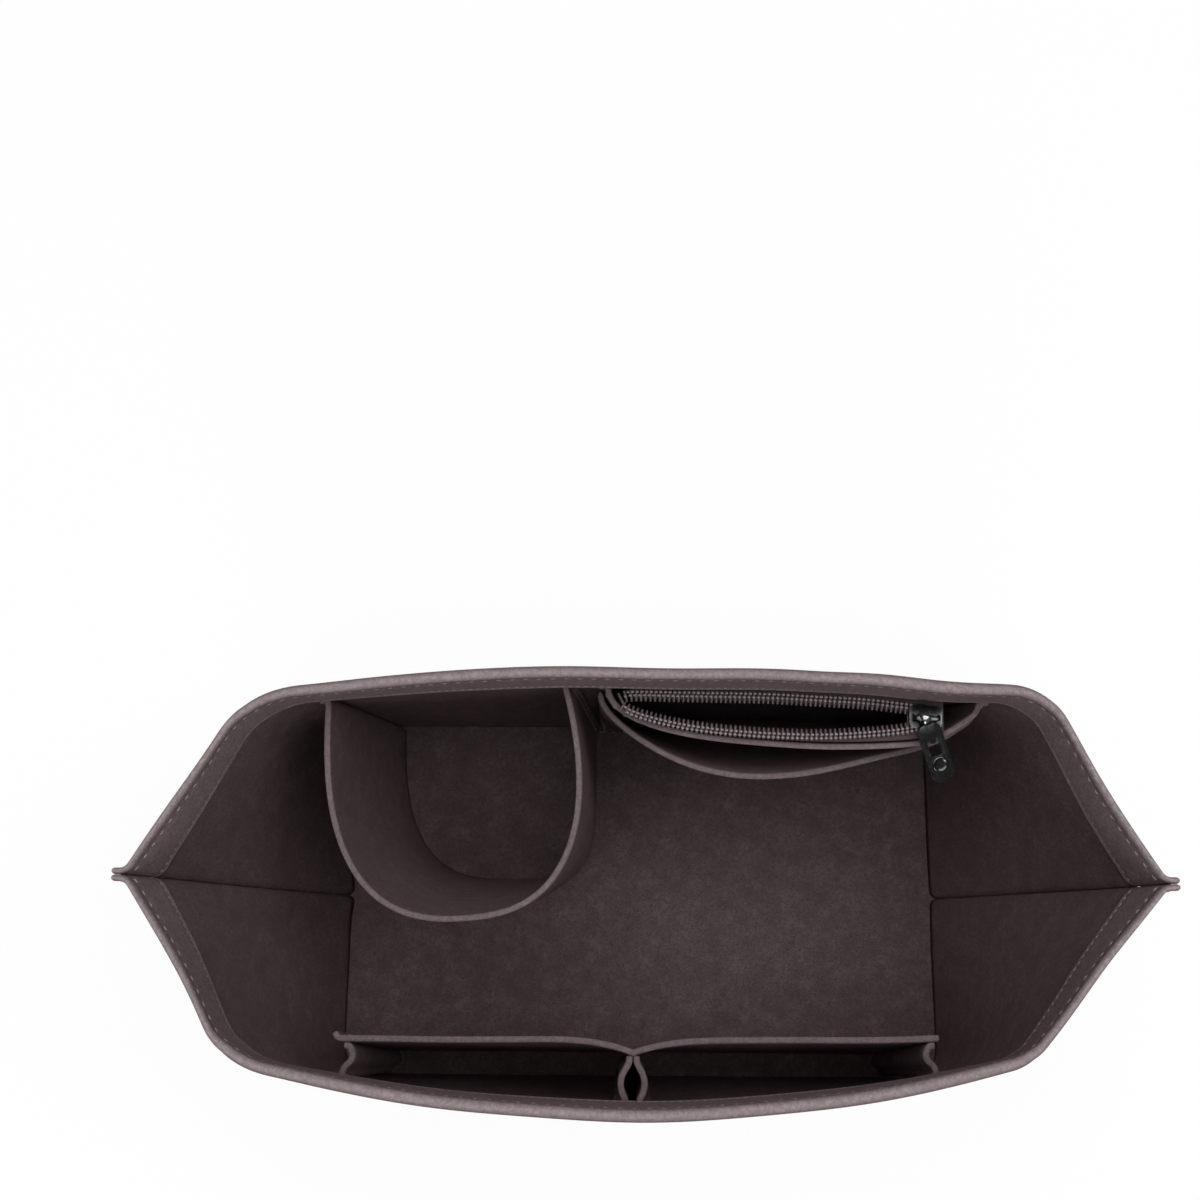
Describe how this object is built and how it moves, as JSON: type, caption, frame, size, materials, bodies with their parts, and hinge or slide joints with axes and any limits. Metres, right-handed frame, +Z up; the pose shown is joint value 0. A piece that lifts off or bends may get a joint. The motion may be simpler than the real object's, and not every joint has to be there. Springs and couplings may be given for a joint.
{
  "type": "purse organizer insert",
  "caption": "Soft felt organizer insert for a shoulder tote, with a bottle holder, a zip pocket over a slip pocket, two front pockets and a pen loop.",
  "frame": {"origin": "underside of the floor, below the middle of the insert's overall box", "axes": "+X along the length with the zip pocket on the +X half, +Y towards the back wall that carries the bottle holder and zip pocket, +Z up"},
  "size_m": [0.379, 0.1666, 0.15],
  "materials": {
    "wall_felt": "matte felt",
    "pocket_felt": "matte felt",
    "tape_cloth": "woven",
    "coil_nylon": "satin",
    "gunmetal": "glossy dark plating"
  },
  "bodies": {
    "felt_box": {"back_shell": "wall_felt", "front_shell": "wall_felt", "base_panel": "wall_felt", "bottle_holder": "pocket_felt", "zip_pocket_panel": "pocket_felt", "slip_pocket_panel": "pocket_felt", "front_pocket_strip": "pocket_felt", "left_end_gusset": "pocket_felt", "right_end_gusset": "pocket_felt", "pen_loop_left": "pocket_felt", "pen_loop_right": "pocket_felt", "zip_tape_back": "tape_cloth", "zip_tape_front": "tape_cloth", "zip_coil_back": "coil_nylon", "zip_coil_front": "coil_nylon"},
    "zip_slider": {"slider_body": "gunmetal", "slider_crown": "gunmetal", "slider_lock_spring": "gunmetal"},
    "pull_tab": {"puller": "gunmetal"}
  },
  "joints": [
    {"name": "zip_slide", "type": "slide", "parent": "felt_box", "child": "zip_slider", "axis": [-0.9988, 0.0485, 0], "range_m": [0, 0.104], "deforming": ["zip_coil_back", "zip_coil_front", "zip_tape_front", "zip_pocket_panel"]},
    {"name": "pull_tab_swing", "type": "hinge", "parent": "zip_slider", "child": "pull_tab", "pos_m": [0.10474, 0.06174, 0.13325], "axis": [0.9988, -0.0485, 0], "range_deg": [-118, 8]}
  ]
}
